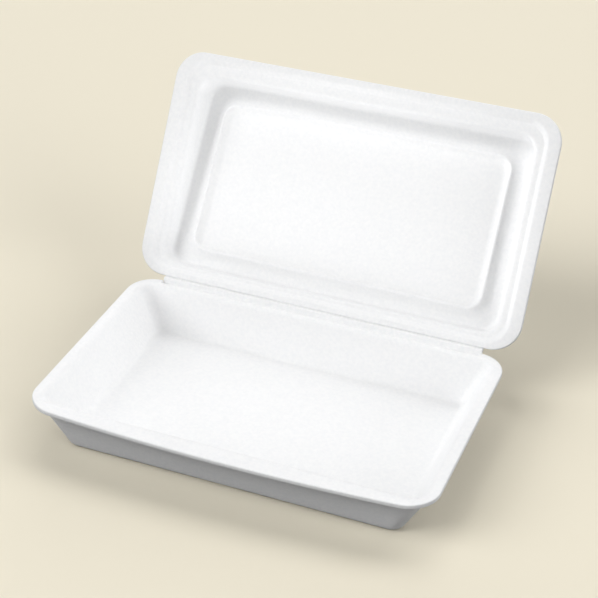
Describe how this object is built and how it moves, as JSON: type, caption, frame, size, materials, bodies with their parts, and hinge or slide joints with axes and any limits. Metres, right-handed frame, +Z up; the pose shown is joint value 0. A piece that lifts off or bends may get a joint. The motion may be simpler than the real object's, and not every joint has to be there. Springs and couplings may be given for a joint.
{
  "type": "foam clamshell container",
  "caption": "White foam food container standing open: a deep tray with a flat rim, joined along one long side by a creased strip to a shallow lid with a stepped wall and a beaded panel.",
  "frame": {"origin": "middle of the flat underside that the tray stands on", "axes": "+X along the creases, +Y from the tray's front edge towards the creases, +Z up"},
  "size_m": [0.205, 0.2034, 0.1282],
  "materials": {
    "foam": "white foamed polystyrene sheet with a fine cell grain and a soft satin skin"
  },
  "bodies": {
    "tray": {"base_tray": "foam"},
    "strip": {"hinge_strip": "foam"},
    "lid": {"lid_cover": "foam"}
  },
  "joints": [
    {"name": "lower_crease", "type": "hinge", "parent": "tray", "child": "strip", "pos_m": [0, 0.0615, 0.02405], "axis": [1, 0, 0], "range_deg": [-29.5, 60.5]},
    {"name": "upper_crease", "type": "hinge", "parent": "strip", "child": "lid", "pos_m": [0, 0.06585, 0.02651], "axis": [1, 0, 0], "range_deg": [-29.5, 60.5]}
  ],
  "couplings": [
    {"joint": "upper_crease", "follows": "lower_crease", "ratio": 1}
  ]
}
